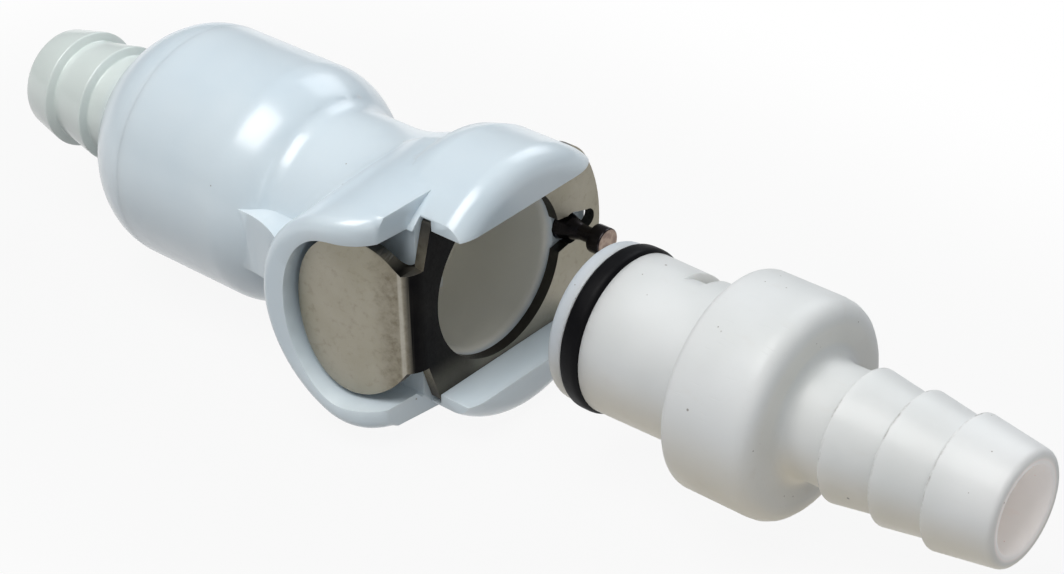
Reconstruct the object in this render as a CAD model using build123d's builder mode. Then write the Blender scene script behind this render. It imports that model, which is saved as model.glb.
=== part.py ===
# Quick-disconnect coupling for an 8 mm fuel hose: latching body, plain insert and shut-off valve.
#
# Frame: the origin is on the flow axis, at the mouth of the body's hose barb. +X runs along the flow
# axis, through the body and out of the socket towards the insert. +Z is up. The thumb pad is on the
# -Y side and the latch pin on the +Y side. The halves are modelled apart and on one axis, with the
# latch held open.

import os
from math import cos, radians, sin, sqrt, tan

from build123d import *

# Clearances
running_gap = 0.30
sheet_gap = 0.05
pin_gap = 0.08
seal_gap = 0.05

# Hose barbs, the same on both halves
barb_crest_r = 4.95
barb_valley_r = 4.35
barb_pitch = 4.1
barb_step = 0.25
barb_tip_r = 4.25
barb_tip_chamfer = 0.35
flow_r = 3.15

# Insert
insert_rest_gap = 18.5
insert_seat_gap = 0.45
barrel_r = 6.1
barrel_length = 12.0
nose_chamfer = 0.5
groove_front = 1.3
ring_section = 1.6
flange_r = 8.25
flange_length = 7.2
flange_front_fillet = 1.3
flange_rear_fillet = 0.4
insert_neck_length = 3.6
insert_tip_length = 4.9
insert_neck_r = 4.3
insert_ridges = 3
barrel_taper = 0.15

# Latch plate
sheet_t = 0.9
aperture_r = 6.75
plate_end_r = 11.4
plate_half_width = 7.8
plate_neck_half = 4.2
plate_flare_y = -6.9
plate_corner_r = 0.6
plate_end_corner_r = 4.5
latch_stroke = 1.8
bend_r = 1.2
bend_turn = 70.0
bend_start_y = -8.0
pad_half_width = 6.7
pad_half_length = 4.8
pad_length = 8.0
pad_straight = 2.6
pad_curl = 22.0

# Latch pin
pin_r = 1.15
pin_neck_r = 0.62
pin_y = 8.2
pin_stand_out = 0.35
pin_head_length = 1.4
pin_neck_length = 1.1
pin_length = 8.6
throat_half = 1.5
pin_spring_room = 5.2
pin_boss_wall = 1.12
pin_boss_fillet = 0.9

# Coupling body
lip_front_x = 52.0
lip_depth = 3.2
lip_r = 10.7
lip_chord = 7.1
lip_front_fillet = 1.9
lip_tip_y = -7.0
collar_length = 4.2
collar_rise = 1.3
neck_r = 7.5
neck_length = 4.3
neck_flare = 7.7
neck_blend = 2.2
bulb_r = 9.75
bulb_wall = 2.35
bulb_length = 14.2
bulb_shoulder = 4.3
housing_wall = 1.8
housing_stand_out = 2.2
housing_draft = 4.0
housing_lead = 1.2
housing_blend = 2.3
housing_rim_fillet = 1.0
housing_front_length = 5.2
housing_front_drop = 5.6
pad_gap = 0.45
recess_floor_wall = 1.3
web_half = 2.6
web_drop = 1.4
web_sink = 0.15
web_arc_r = 9.0

# Shut-off valve
socket_floor = 1.05
port_r = 4.1
chamber_front_wall = 2.2
poppet_land = 1.5
poppet_head_length = 2.4
poppet_rib = 1.0
poppet_stem_r = 2.4
poppet_stem_length = 3.4
valve_lift = 2.0
spigot_length = 3.2
spigot_wall = 0.86
dome_length = 7.1
dome_end_r = 4.9
terminal_neck_length = 3.0
terminal_ridges = 2
terminal_tip_length = 3.3
terminal_ring_section = 1.2

# Springs: wire radius, coil radius and turns
latch_spring_wire = 0.2
latch_spring_coil = 2.2
latch_spring_turns = 2.5
pin_spring_wire = 0.16
pin_spring_coil = 0.85
pin_spring_turns = 7
valve_spring_wire = 0.32
valve_spring_coil = 3.35
valve_spring_turns = 5

# Worked-out radii
head_r = lip_r - collar_rise
recess_half_width = pad_half_width + pad_gap
housing_r = recess_half_width + housing_wall
housing_reach = lip_r + housing_stand_out
housing_root_r = housing_r + housing_reach * tan(radians(housing_draft))
recess_floor_y = -(barrel_r + running_gap + recess_floor_wall)
chamber_r = bulb_r - bulb_wall
poppet_head_r = port_r + poppet_land

# Worked-out stations along X
plate_front_x = lip_front_x - lip_depth
plate_back_x = plate_front_x - sheet_t
face_x = plate_back_x - sheet_gap
collar_back_x = face_x - collar_length + sheet_gap
socket_r = barrel_r + running_gap
insert_seat_x = lip_front_x + insert_seat_gap
nose_seated_x = insert_seat_x - barrel_length
socket_floor_x = nose_seated_x - socket_floor
neck_front_x = collar_back_x - neck_flare
bulb_front_x = neck_front_x - neck_length
bulb_back_x = bulb_front_x - bulb_length
seat_x = bulb_front_x - chamber_front_wall
pin_front_x = lip_front_x + pin_stand_out

# Worked-out middle line of the bend and the pad, seen along Z
middle_x = plate_back_x + sheet_t / 2
middle_r = bend_r + sheet_t / 2
half_turn = radians(bend_turn / 2)
full_turn = radians(bend_turn)
bend_centre = Vector(middle_x - middle_r, bend_start_y)
bend_middle = bend_centre + Vector(middle_r * cos(half_turn), -middle_r * sin(half_turn))
bend_end = bend_centre + Vector(middle_r * cos(full_turn), -middle_r * sin(full_turn))
heading = Vector(-sin(full_turn), -cos(full_turn))
straight_end = bend_end + heading * pad_straight
half_curl = radians(pad_curl / 2)
pad_sweep_r = (pad_length - pad_straight) / (2 * half_curl)
pad_tip_x = straight_end.X - 2 * pad_sweep_r * sin(half_curl) * sin(full_turn + half_curl)
pad_centre_x = pad_tip_x + pad_half_length
housing_centre_x = pad_centre_x + housing_lead

os.makedirs("parts", exist_ok=True)


def coil(spring_r, wire_r, turns, start, along):
    """A coil spring of round wire. Its end turns start at a point and run along a direction."""
    height = along.length - 2 * wire_r
    centre_plane = Plane(origin=start + along.normalized() * wire_r, z_dir=along)
    helix = centre_plane.from_local_coords(Helix(height / turns, height, spring_r))
    with BuildPart() as spring:
        with BuildSketch(Plane(origin=helix @ 0, z_dir=helix % 0)):
            Circle(wire_r)
        sweep(path=helix, is_frenet=True)
    return spring.part


def barb_points(base_x, toward, ridges, tip_length):
    """Barb outline from its neck to the tip. Each ridge is steep on the side of its base."""
    points = []
    for ridge in range(ridges):
        crest_x = base_x + toward * ridge * barb_pitch
        points.append((crest_x - toward * barb_step, barb_valley_r))
        points.append((crest_x, barb_crest_r))
    end_x = base_x + toward * ((ridges - 1) * barb_pitch + tip_length)
    points.append((end_x - toward * barb_tip_chamfer, barb_tip_r))
    points.append((end_x, barb_tip_r - barb_tip_chamfer))
    points.append((end_x, flow_r))
    return points


# Insert: barrel with the ring groove and the catch pocket, flange, and a barb with three ridges
flange_x = lip_front_x + insert_rest_gap
nose_x = flange_x - barrel_length
ring_groove_r = socket_r - seal_gap - ring_section
ring_front_x = nose_x + groove_front
ring_back_x = ring_front_x + ring_section + 2 * seal_gap
catch_back_x = flange_x - insert_seat_x + plate_front_x + running_gap
catch_front_x = flange_x - insert_seat_x + plate_back_x - running_gap
insert_crest_x = flange_x + flange_length + insert_neck_length

with BuildPart() as insert_body:
    with BuildSketch(Plane.XY):
        with BuildLine():
            Polyline(
                (nose_x, flow_r),
                (nose_x, barrel_r - nose_chamfer),
                (nose_x + nose_chamfer, barrel_r),
                (ring_front_x, barrel_r),
                (ring_front_x, ring_groove_r),
                (ring_back_x, ring_groove_r),
                (ring_back_x, barrel_r),
                (flange_x, barrel_r - barrel_taper),
                (flange_x, flange_r),
                (flange_x + flange_length, flange_r),
                (flange_x + flange_length, insert_neck_r),
                *barb_points(insert_crest_x, 1, insert_ridges, insert_tip_length),
                close=True,
            )
        make_face()
    revolve(axis=Axis.X)
    flange_rims = insert_body.edges().filter_by(GeomType.CIRCLE)
    flange_rims = flange_rims.filter_by(lambda e: abs(e.radius - flange_r) < 0.01)
    fillet(flange_rims.sort_by(Axis.X)[-1], flange_front_fillet)
    flange_rims = insert_body.edges().filter_by(GeomType.CIRCLE)
    flange_rims = flange_rims.filter_by(lambda e: abs(e.radius - flange_r) < 0.01)
    fillet(flange_rims.sort_by(Axis.X)[0], flange_rear_fillet)
    neck_root = insert_body.edges().filter_by(GeomType.CIRCLE)
    neck_root = neck_root.filter_by(lambda e: abs(e.radius - insert_neck_r) < 0.01)
    fillet(neck_root.sort_by(Axis.X)[0], flange_rear_fillet * 2)
    # Pocket on the pin's side for the rim of the latch plate's aperture
    with BuildSketch(Plane.YZ.offset(catch_front_x)):
        Circle(2 * barrel_r)
        with Locations((-latch_stroke, 0)):
            Circle(aperture_r - running_gap, mode=Mode.SUBTRACT)
        with Locations((-2 * barrel_r, 0)):
            Rectangle(4 * barrel_r, 4 * barrel_r, mode=Mode.SUBTRACT)
    extrude(amount=catch_back_x - catch_front_x, mode=Mode.SUBTRACT)
insert_body.part.label = "insert_body"
export_step(insert_body.part, "parts/insert_body.step")

with BuildPart() as insert_o_ring:
    with BuildSketch(Plane.XY):
        with Locations(((ring_front_x + ring_back_x) / 2, ring_groove_r + ring_section / 2)):
            Circle(ring_section / 2 - 0.005)
    revolve(axis=Axis.X)
insert_o_ring.part.label = "insert_o_ring"
export_step(insert_o_ring.part, "parts/insert_o_ring.step")

# Coupling body: one moulding
post_half = plate_half_width + running_gap / 2
pin_boss_r = pin_r + pin_gap + pin_boss_wall
pin_bore_r = pin_r + pin_gap
pin_back_x = pin_front_x - pin_length
pin_bore_end_x = pin_back_x - pin_spring_room

with BuildPart() as coupling_body:
    with BuildSketch(Plane.XY):
        with BuildLine():
            Polyline((bulb_back_x, 0), (bulb_back_x, bulb_r), (bulb_front_x - bulb_shoulder, bulb_r))
            shoulder_top = Vector(bulb_front_x - bulb_shoulder, bulb_r)
            shoulder_foot = Vector(bulb_front_x, neck_r)
            Spline(shoulder_top, shoulder_foot, tangents=((1, 0), (0.35, -1)), tangent_scalars=(1.1, 0.6))
            Line(shoulder_foot, (neck_front_x, neck_r))
            Spline((neck_front_x, neck_r), (collar_back_x, head_r), tangents=((1, 0), (1, 0.30)))
            Polyline((collar_back_x, head_r), (face_x, head_r), (face_x, 0), (bulb_back_x, 0))
        make_face()
    revolve(axis=Axis.X)
    neck_roots = coupling_body.edges().filter_by(GeomType.CIRCLE)
    neck_roots = neck_roots.filter_by(lambda e: abs(e.radius - neck_r) < 0.01)
    fillet(neck_roots.sort_by(Axis.X)[0], neck_blend)
    # Shroud for the thumb pad, blended into the neck
    with BuildSketch(Plane.XZ):
        with Locations((housing_centre_x, 0)):
            Circle(housing_root_r)
        with Locations((face_x + housing_root_r, 0)):
            Rectangle(2 * housing_root_r, 4 * housing_root_r, mode=Mode.SUBTRACT)
    extrude(amount=housing_reach, taper=housing_draft)
    seam = coupling_body.edges().filter_by(GeomType.BSPLINE).filter_by(lambda e: e.center().X < collar_back_x)
    fillet(seam.filter_by(lambda e: -head_r < e.center().Y < -1), housing_blend)
    with BuildSketch(Plane.XY.offset(-2 * housing_root_r)):
        with BuildLine():
            Polyline(
                (face_x - housing_front_length, -housing_reach),
                (face_x - housing_front_length, -housing_reach - 1),
                (face_x + 1, -housing_reach - 1),
                (face_x + 1, -housing_reach + housing_front_drop),
                (face_x, -housing_reach + housing_front_drop),
            )
            Spline(
                (face_x - housing_front_length, -housing_reach),
                (face_x, -housing_reach + housing_front_drop),
                tangents=((1, 0), (0, 1)),
            )
        make_face()
    extrude(amount=4 * housing_root_r, mode=Mode.SUBTRACT)
    rim = coupling_body.edges().filter_by(lambda e: e.center().Y < -housing_reach + housing_rim_fillet)
    rim = rim.filter_by(GeomType.LINE, reverse=True)
    fillet(rim, housing_rim_fillet)
    # Web between the bulb and the shroud
    web_root_x = bulb_front_x - bulb_shoulder
    web_root_y = -sqrt(bulb_r**2 - web_half**2) + web_sink
    web_tip_x = housing_centre_x - housing_r + housing_wall / 2
    web_tip_y = -housing_reach + web_drop
    with BuildSketch(Plane.XY.offset(-web_half)):
        with BuildLine():
            Polyline(
                (web_root_x, web_root_y),
                (web_root_x, -neck_r / 2),
                (housing_centre_x, -neck_r / 2),
                (housing_centre_x, web_tip_y),
                (web_tip_x, web_tip_y),
            )
            RadiusArc((web_tip_x, web_tip_y), (web_root_x, web_root_y), -web_arc_r)
        make_face()
    extrude(amount=2 * web_half)
    # Collar and lips share one outside radius
    with BuildSketch(Plane.XY):
        with BuildLine():
            Polyline(
                (collar_back_x - 0.9, 0),
                (collar_back_x - 0.9, head_r - 0.6),
                (collar_back_x + 0.5, lip_r - 0.45),
                (collar_back_x + 2.2, lip_r),
                (lip_front_x, lip_r),
                (lip_front_x, 0),
                close=True,
            )
        make_face()
    revolve(axis=Axis.X)
    lip_rim = coupling_body.edges().filter_by(GeomType.CIRCLE).sort_by(Axis.X)[-1]
    fillet(lip_rim, lip_front_fillet)
    # Boss for the latch pin
    boss_end_x = pin_bore_end_x - pin_boss_wall
    boss_edge_y = pin_y + pin_boss_r
    with BuildSketch(Plane.XY):
        with BuildLine():
            Polyline(
                (boss_end_x, pin_y),
                (boss_end_x, boss_edge_y),
                (face_x, boss_edge_y),
                (face_x, pin_y),
                close=True,
            )
        make_face()
        fillet(vertices().group_by(Axis.X)[0].sort_by(Axis.Y)[-1], pin_boss_fillet)
    revolve(axis=Axis((0, pin_y, 0), (1, 0, 0)))
    # Slot for the latch plate, then the mouth between the lips, both open to the sides
    with BuildSketch(Plane.YZ.offset(face_x)):
        Rectangle(6 * lip_r, 2 * post_half)
    extrude(amount=sheet_t + 2 * sheet_gap, mode=Mode.SUBTRACT)
    with BuildSketch(Plane.YZ.offset(face_x)):
        Rectangle(6 * lip_r, 2 * lip_chord)
        with Locations((lip_tip_y - 2 * lip_r, 0)):
            Rectangle(4 * lip_r, 4 * lip_r)
    extrude(amount=lip_depth + sheet_t + 2 * sheet_gap, mode=Mode.SUBTRACT)
    # Recess behind the thumb pad, open to the front for the bend
    with BuildSketch(Plane.XZ.offset(-recess_floor_y)):
        with Locations((pad_centre_x, 0)):
            Ellipse(pad_half_length + pad_gap, recess_half_width)
        with Locations(((pad_centre_x + face_x) / 2, 0)):
            Rectangle(face_x - pad_centre_x, 2 * recess_half_width)
    extrude(amount=housing_reach, mode=Mode.SUBTRACT)
    # Socket, port and valve chamber
    with BuildSketch(Plane.XY):
        with BuildLine():
            Polyline(
                (lip_front_x, 0),
                (lip_front_x, socket_r + 0.6),
                (face_x, socket_r + 0.6),
                (face_x - 0.8, socket_r),
                (socket_floor_x, socket_r),
                (socket_floor_x, port_r),
                (seat_x, port_r),
                (seat_x, chamber_r),
                (bulb_back_x, chamber_r),
                (bulb_back_x, 0),
                close=True,
            )
        make_face()
    revolve(axis=Axis.X, mode=Mode.SUBTRACT)
    # Blind bore for the latch pin and its spring
    with BuildSketch(Plane.YZ.offset(face_x)):
        with Locations((pin_y, 0)):
            Circle(pin_bore_r)
    extrude(amount=pin_bore_end_x - face_x, mode=Mode.SUBTRACT)
coupling_body.part.label = "coupling_body"
export_step(coupling_body.part, "parts/coupling_body.step")

# Terminal: spigot in the chamber, rounded end of the bulb, hose barb
spigot_r = chamber_r - 0.02
spigot_front_x = bulb_back_x + spigot_length
dome_end_x = bulb_back_x - dome_length
terminal_crest_x = dome_end_x - terminal_neck_length
ring_seat_x = bulb_back_x + spigot_length / 2
ring_seat_r = spigot_r - terminal_ring_section
spigot_mouth_r = ring_seat_r - spigot_wall
spring_seat_x = bulb_back_x - 1.0
spring_seat_r = valve_spring_coil + valve_spring_wire + 0.25

with BuildPart() as hose_barb_terminal:
    with BuildSketch(Plane.XY):
        with BuildLine():
            Line((spring_seat_x, flow_r), (spring_seat_x, spring_seat_r))
            Line((spring_seat_x, spring_seat_r), (spigot_front_x, spigot_mouth_r))
            Polyline(
                (spigot_front_x, spigot_mouth_r),
                (spigot_front_x, spigot_r),
                (ring_seat_x + terminal_ring_section / 2, spigot_r),
                (ring_seat_x + terminal_ring_section / 2, ring_seat_r),
                (ring_seat_x - terminal_ring_section / 2, ring_seat_r),
                (ring_seat_x - terminal_ring_section / 2, spigot_r),
                (bulb_back_x, spigot_r),
                (bulb_back_x, bulb_r),
            )
            Spline(
                (bulb_back_x, bulb_r),
                (dome_end_x, dome_end_r),
                tangents=((-1, 0), (-0.85, -1)),
                tangent_scalars=(1.2, 0.8),
            )
            Polyline(
                (dome_end_x, dome_end_r),
                (dome_end_x, barb_valley_r - 0.2),
                (terminal_crest_x + 2 * barb_step, barb_valley_r - 0.2),
                *barb_points(terminal_crest_x, -1, terminal_ridges, terminal_tip_length),
                (spring_seat_x, flow_r),
            )
        make_face()
    revolve(axis=Axis.X)
hose_barb_terminal.part.label = "hose_barb_terminal"
export_step(hose_barb_terminal.part, "parts/hose_barb_terminal.step")

with BuildPart() as terminal_seal:
    with BuildSketch(Plane.XY):
        with Locations((ring_seat_x, ring_seat_r + terminal_ring_section / 2)):
            Circle(terminal_ring_section / 2 - 0.01)
    revolve(axis=Axis.X)
terminal_seal.part.label = "terminal_seal"
export_step(terminal_seal.part, "parts/terminal_seal.step")

# Poppet: head with a seal groove, cross-shaped nose through the port, spring boss behind
poppet_front_x = seat_x - 0.1
poppet_back_x = poppet_front_x - poppet_head_length
poppet_nose_x = nose_seated_x + valve_lift - 0.1
poppet_rib_r = port_r - running_gap / 2
seal_section = 1.1
seal_groove_r = port_r + 0.15

with BuildPart() as valve_poppet:
    with BuildSketch(Plane.YZ.offset(poppet_back_x)):
        Circle(poppet_head_r)
    extrude(amount=poppet_head_length)
    with BuildSketch(Plane.YZ.offset(poppet_front_x - seal_section + 0.05)):
        Circle(poppet_head_r)
        Circle(seal_groove_r, mode=Mode.SUBTRACT)
    extrude(amount=seal_section, mode=Mode.SUBTRACT)
    with BuildSketch(Plane.YZ.offset(poppet_back_x)):
        Rectangle(2 * poppet_rib_r, poppet_rib)
        Rectangle(poppet_rib, 2 * poppet_rib_r)
    extrude(amount=poppet_nose_x - poppet_back_x)
    with BuildSketch(Plane.YZ.offset(poppet_back_x)):
        Circle(poppet_stem_r)
    extrude(amount=-poppet_stem_length)
    chamfer(valve_poppet.faces().sort_by(Axis.X)[0].edges(), 0.4)
valve_poppet.part.label = "valve_poppet"
export_step(valve_poppet.part, "parts/valve_poppet.step")

with BuildPart() as poppet_seal:
    with BuildSketch(Plane.XY):
        with Locations((poppet_front_x - seal_section / 2 + 0.05, seal_groove_r + seal_section / 2)):
            Circle(seal_section / 2 - 0.01)
    revolve(axis=Axis.X)
poppet_seal.part.label = "poppet_seal"
export_step(poppet_seal.part, "parts/poppet_seal.step")

# Latch plate: a flat front, a bend and a curved pad, from one sheet
end_edge_y = sqrt(plate_end_r**2 - plate_half_width**2)
slot_end_y = pin_y + latch_stroke
slot_half = pin_neck_r + 0.15
pin_hole_r = pin_r + 0.15

strip_lap = 0.3

# The bend and the pad are one strip along the sheet's middle line, trimmed to the pad's outline
with BuildPart() as pad_strip:
    with BuildLine(Plane.XY) as strip_line:
        Line((middle_x, bend_start_y + strip_lap), (middle_x, bend_start_y))
        ThreePointArc((middle_x, bend_start_y), bend_middle, bend_end)
        Line(bend_end, straight_end)
        JernArc(start=straight_end, tangent=heading, radius=pad_sweep_r, arc_size=-pad_curl)
    strip_start = Plane(origin=(middle_x, bend_start_y + strip_lap, 0), x_dir=(1, 0, 0), z_dir=(0, -1, 0))
    with BuildSketch(strip_start):
        Rectangle(sheet_t, 2 * pad_half_width)
    sweep(path=strip_line.wires()[0])
    with BuildSketch(Plane.XZ.offset(-bend_start_y - strip_lap)):
        with Locations((pad_centre_x, 0)):
            Rectangle(6 * pad_half_width, 6 * pad_half_width)
            Ellipse(pad_half_length, pad_half_width, mode=Mode.SUBTRACT)
        with Locations((pad_centre_x + 2 * pad_half_width, 0)):
            Rectangle(4 * pad_half_width, 2 * plate_neck_half, mode=Mode.SUBTRACT)
    extrude(amount=4 * pad_half_width, mode=Mode.SUBTRACT)

with BuildPart() as latch_plate:
    with BuildSketch(Plane.YZ.offset(plate_back_x)):
        with BuildLine():
            Polyline(
                (end_edge_y, -plate_half_width),
                (plate_flare_y, -plate_half_width),
                (bend_start_y, -plate_neck_half),
                (bend_start_y, plate_neck_half),
                (plate_flare_y, plate_half_width),
                (end_edge_y, plate_half_width),
            )
            ThreePointArc((end_edge_y, plate_half_width), (plate_end_r, 0), (end_edge_y, -plate_half_width))
        make_face()
        Circle(aperture_r, mode=Mode.SUBTRACT)
        with BuildLine():
            Polyline(
                (aperture_r - 0.6, -throat_half),
                (pin_y - 0.5, -pin_hole_r + 0.06),
                (pin_y - 0.5, pin_hole_r - 0.06),
                (aperture_r - 0.6, throat_half),
                close=True,
            )
        make_face(mode=Mode.SUBTRACT)
        with Locations((pin_y, 0)):
            Circle(pin_hole_r, mode=Mode.SUBTRACT)
        with BuildLine():
            Polyline(
                (pin_y, -pin_hole_r),
                (slot_end_y, -slot_half),
                (slot_end_y, slot_half),
                (pin_y, pin_hole_r),
                close=True,
            )
        make_face(mode=Mode.SUBTRACT)
        with Locations((slot_end_y, 0)):
            Circle(slot_half, mode=Mode.SUBTRACT)
    extrude(amount=sheet_t)
    flare_corners = latch_plate.edges().filter_by(Axis.X)
    flare_corners = flare_corners.filter_by(lambda e: abs(e.center().Y - plate_flare_y) < 0.01)
    fillet(flare_corners, plate_corner_r)
    end_corners = latch_plate.edges().filter_by(Axis.X)
    end_corners = end_corners.filter_by(lambda e: abs(e.center().Y - end_edge_y) < 0.01)
    fillet(end_corners, plate_end_corner_r)
    add(pad_strip.part)
latch_plate.part.label = "latch_plate"
export_step(latch_plate.part, "parts/latch_plate.step")

# Latch pin: barrel, cone, neck and head, from its hidden end to its head
neck_front_pin_x = pin_front_x - pin_head_length
cone_front_x = neck_front_pin_x - pin_neck_length
cone_back_x = plate_back_x + 0.1

with BuildPart() as latch_pin:
    with BuildSketch(Plane.XY):
        with BuildLine():
            Polyline(
                (pin_back_x, 0),
                (pin_back_x, pin_r),
                (cone_back_x, pin_r),
                (cone_front_x, pin_neck_r),
                (neck_front_pin_x, pin_neck_r),
                (neck_front_pin_x + 0.15, pin_r),
                (pin_front_x - 0.12, pin_r),
                (pin_front_x, pin_r - 0.12),
                (pin_front_x, 0),
                close=True,
            )
        make_face()
    revolve(axis=Axis.X)
latch_pin_part = latch_pin.part.moved(Location((0, pin_y, 0)))
latch_pin_part.label = "latch_pin"
export_step(latch_pin_part, "parts/latch_pin.step")

# Springs
latch_spring_x = straight_end.X - latch_spring_coil - latch_spring_wire
pad_inner_y = straight_end.Y + 0.6 * sheet_t
latch_spring = coil(
    latch_spring_coil,
    latch_spring_wire,
    latch_spring_turns,
    Vector(latch_spring_x, recess_floor_y - 0.05, 0),
    Vector(0, pad_inner_y - recess_floor_y + 0.1, 0),
)
latch_spring.label = "latch_spring"
export_step(latch_spring, "parts/latch_spring.step")

pin_spring = coil(
    pin_spring_coil,
    pin_spring_wire,
    pin_spring_turns,
    Vector(pin_bore_end_x + 0.05, pin_y, 0),
    Vector(pin_back_x - pin_bore_end_x - 0.1, 0, 0),
)
pin_spring.label = "pin_spring"
export_step(pin_spring, "parts/pin_spring.step")

valve_spring = coil(
    valve_spring_coil,
    valve_spring_wire,
    valve_spring_turns,
    Vector(spring_seat_x + 0.05, 0, 0),
    Vector(poppet_back_x - spring_seat_x - 0.1, 0, 0),
)
valve_spring.label = "valve_spring"
export_step(valve_spring, "parts/valve_spring.step")
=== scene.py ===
"""Looks of a quick-disconnect hose coupling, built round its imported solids.

The body with its thumb latch lies at the left and the plain insert at the right, on one axis.
Every length is in millimetres until a mesh is written, where it becomes metres.
"""

import logging
import math
from dataclasses import dataclass, replace
from enum import Enum
from typing import Any, Callable, Dict, List, Optional, Sequence, Tuple, Union

import bmesh
import bpy
import numpy as np
from mathutils import Matrix, Vector


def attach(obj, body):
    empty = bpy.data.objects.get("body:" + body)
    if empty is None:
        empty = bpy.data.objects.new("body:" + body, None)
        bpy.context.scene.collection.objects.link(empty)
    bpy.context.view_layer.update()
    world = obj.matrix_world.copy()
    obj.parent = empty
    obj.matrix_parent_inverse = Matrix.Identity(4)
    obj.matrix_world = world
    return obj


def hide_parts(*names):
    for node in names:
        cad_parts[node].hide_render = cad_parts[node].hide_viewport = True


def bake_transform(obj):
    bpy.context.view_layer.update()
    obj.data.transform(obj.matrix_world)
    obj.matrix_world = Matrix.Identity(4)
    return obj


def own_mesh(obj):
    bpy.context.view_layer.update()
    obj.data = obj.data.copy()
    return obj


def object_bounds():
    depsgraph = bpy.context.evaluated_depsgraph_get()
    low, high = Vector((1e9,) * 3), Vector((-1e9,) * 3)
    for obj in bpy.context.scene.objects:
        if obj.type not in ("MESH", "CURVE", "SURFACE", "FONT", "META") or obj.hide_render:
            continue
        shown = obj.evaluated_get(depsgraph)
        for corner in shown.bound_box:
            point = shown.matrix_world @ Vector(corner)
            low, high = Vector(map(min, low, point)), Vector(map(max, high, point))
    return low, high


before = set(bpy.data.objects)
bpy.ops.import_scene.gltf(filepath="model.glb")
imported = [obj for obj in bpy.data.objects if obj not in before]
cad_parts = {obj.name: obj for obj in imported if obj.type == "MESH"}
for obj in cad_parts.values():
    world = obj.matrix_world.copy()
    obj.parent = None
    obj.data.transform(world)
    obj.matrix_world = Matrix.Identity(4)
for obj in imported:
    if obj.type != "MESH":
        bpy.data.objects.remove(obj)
cad_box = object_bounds()

log = logging.getLogger("coupling")

Triple = Tuple[float, float, float]
Colour = Triple
Corner = Triple
Cut = Callable[[np.ndarray, np.ndarray, np.ndarray], np.ndarray]

MM = 0.001
MERGE_WITHIN = 2e-6
SEAM_WITHIN = 0.01
SHARP_ANGLE = math.radians(32)
SOFTENED_ANGLE = math.radians(38)
LARGEST_SET_BACK = 0.48
SEAM_X = 17.5

BLACK: Colour = (0.0, 0.0, 0.0)
WHITE: Colour = (1.0, 1.0, 1.0)
COOL_WHITE: Colour = (0.64, 0.745, 0.82)
COOL_CLOUD: Colour = (0.69, 0.785, 0.85)


class Slot(Enum):
    """Material slots of the record."""

    BODY = "body_acetal"
    TERMINAL = "terminal_acetal"
    INSERT = "insert_acetal"
    LATCH = "latch_steel"
    PIN = "pin_steel"
    SPRING = "spring_steel"
    VALVE = "valve_acetal"
    SEAL = "seal_rubber"


class Wire:
    """One output of a node, with arithmetic that adds Math nodes."""

    def __init__(self, graph: "Graph", socket: bpy.types.NodeSocket) -> None:
        """Keeps the node graph and the socket."""
        self.graph = graph
        self.socket = socket

    def math(self, operation: str, *others: Any, swapped: bool = False) -> "Wire":
        """Adds one Math node.

        Args:
            operation: name of the Math node's operation.
            others: the other operands, numbers or wires.
            swapped: puts this wire second.

        Returns:
            The result's wire.
        """
        operands = [self, *others]
        if swapped:
            operands.reverse()
        values = dict(enumerate(operands))
        return self.graph.node("ShaderNodeMath", {"operation": operation}, values)

    def __add__(self, other: Any) -> "Wire":
        """Sum."""
        return self.math("ADD", other)

    __radd__ = __add__

    def __mul__(self, other: Any) -> "Wire":
        """Product."""
        return self.math("MULTIPLY", other)

    __rmul__ = __mul__

    def __sub__(self, other: Any) -> "Wire":
        """Difference."""
        return self.math("SUBTRACT", other)

    def __rsub__(self, other: Any) -> "Wire":
        """Difference the other way round."""
        return self.math("SUBTRACT", other, swapped=True)

    def __abs__(self) -> "Wire":
        """Absolute value."""
        return self.math("ABSOLUTE")

    def larger(self, other: Any) -> "Wire":
        """The larger of the two."""
        return self.math("MAXIMUM", other)

    def smaller(self, other: Any) -> "Wire":
        """The smaller of the two."""
        return self.math("MINIMUM", other)

    def ramp(self, low: float, high: float, bottom: float = 0.0, top: float = 1.0) -> "Wire":
        """Smooth step from one level to another.

        Args:
            low: input that gives bottom.
            high: input that gives top. It may be smaller than low.
            bottom: output on low's side of the step.
            top: output on high's side of the step.

        Returns:
            The step's wire.
        """
        settings = {"interpolation_type": "SMOOTHSTEP"}
        if high < low:
            low, high, bottom, top = high, low, top, bottom
        values = {"Value": self, "From Min": low, "From Max": high, "To Min": bottom, "To Max": top}
        return self.graph.node("ShaderNodeMapRange", settings, values)

    def band(self, centre: float, half: float, soft: float) -> "Wire":
        """A mask that is 1 within a distance of a centre and falls off softly."""
        return abs(self - centre).ramp(half + soft, half)


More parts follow.
